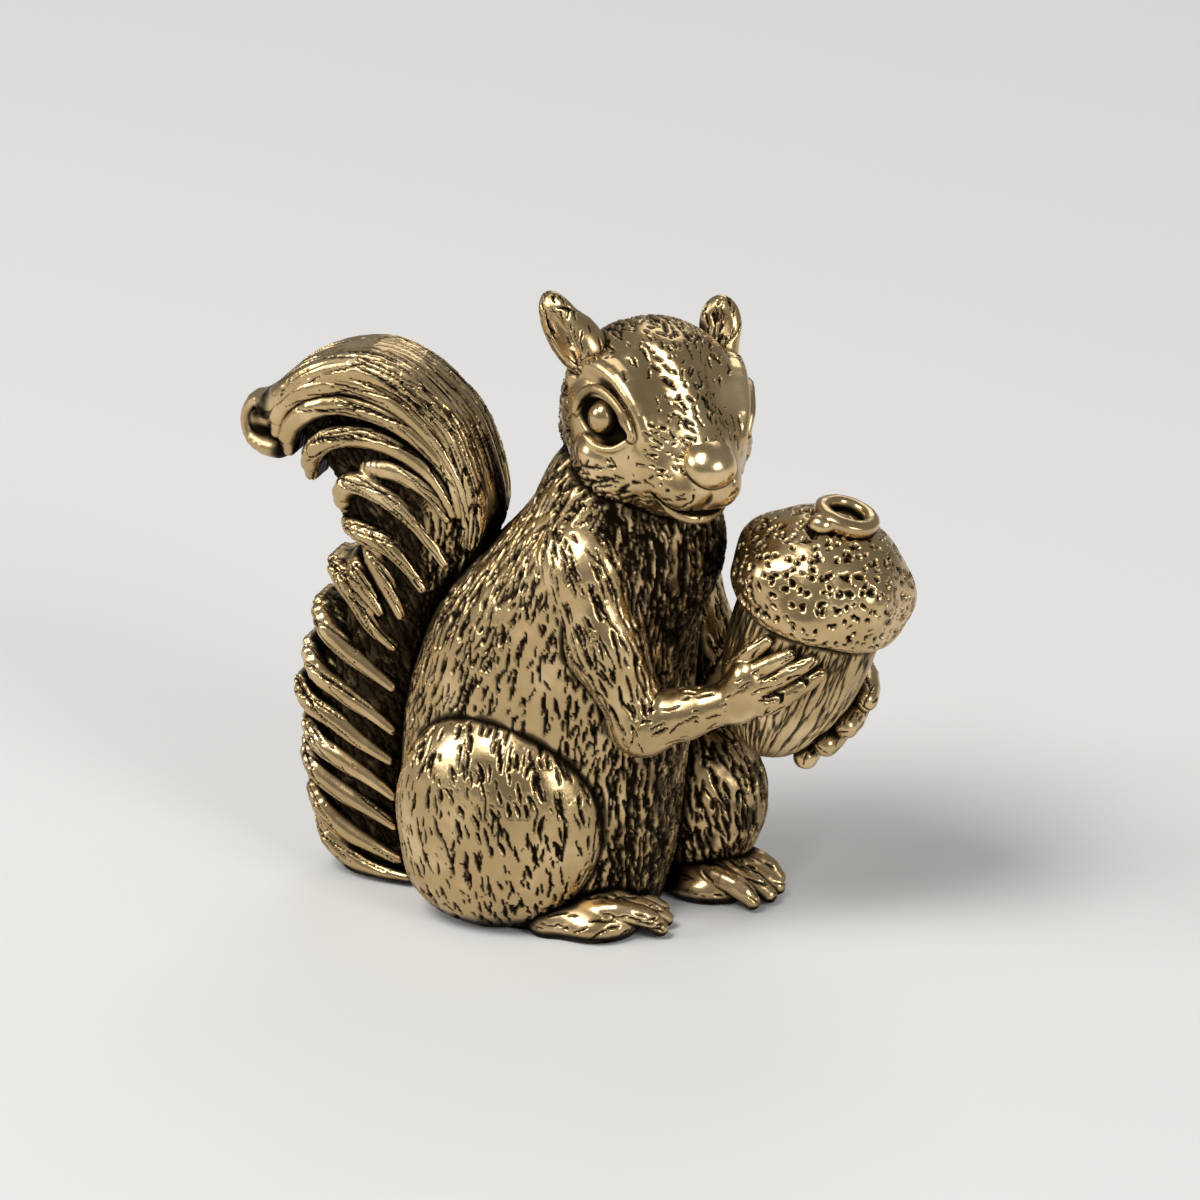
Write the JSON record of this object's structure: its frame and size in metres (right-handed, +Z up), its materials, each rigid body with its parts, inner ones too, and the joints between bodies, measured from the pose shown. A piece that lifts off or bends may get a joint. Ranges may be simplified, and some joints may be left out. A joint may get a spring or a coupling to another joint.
{
  "type": "squirrel figurine",
  "caption": "Small antiqued brass ornament of a sitting squirrel that turns its head and holds an acorn in both forepaws, with a curled bushy tail and a flat base.",
  "frame": {"origin": "on the flat underside that the squirrel sits on, under the middle of its body", "axes": "+X the way the squirrel's body faces, +Y its left side, +Z up"},
  "size_m": [0.0412, 0.018, 0.0397],
  "materials": {
    "fur_brass": "antiqued brass with carved fur strokes, dark brown patina in the strokes and rubbed bright high spots",
    "tail_brass": "antiqued brass, long rubbed ridges with near-black patina between the locks",
    "acorn_brass": "antiqued brass, pitted cap and grooved nut with dark patina in the pits",
    "smooth_brass": "rubbed antiqued brass with a soft shine and dark patina in the creases"
  },
  "bodies": {
    "root": {"acorn_cap": "acorn_brass", "acorn_nut": "acorn_brass", "acorn_stalk": "acorn_brass", "head": "fur_brass", "left_ear": "fur_brass", "left_eye": "smooth_brass", "left_foot": "smooth_brass", "left_forearm": "smooth_brass", "left_paw": "smooth_brass", "left_thigh": "fur_brass", "left_upper_arm": "fur_brass", "nose": "smooth_brass", "right_ear": "fur_brass", "right_eye": "smooth_brass", "right_foot": "smooth_brass", "right_forearm": "smooth_brass", "right_paw": "smooth_brass", "right_thigh": "fur_brass", "right_upper_arm": "fur_brass", "tail_curl_1": "tail_brass", "tail_curl_2": "tail_brass", "tail_curl_3": "tail_brass", "tail_curl_4": "tail_brass", "tail_curl_5": "tail_brass", "tail_lock_1": "tail_brass", "tail_lock_2": "tail_brass", "tail_lock_3": "tail_brass", "tail_lock_4": "tail_brass", "tail_lock_5": "tail_brass", "tail_lock_6": "tail_brass", "tail_lock_7": "tail_brass", "tail_lock_8": "tail_brass", "tail_stem": "tail_brass", "torso": "fur_brass"}
  },
  "joints": []
}
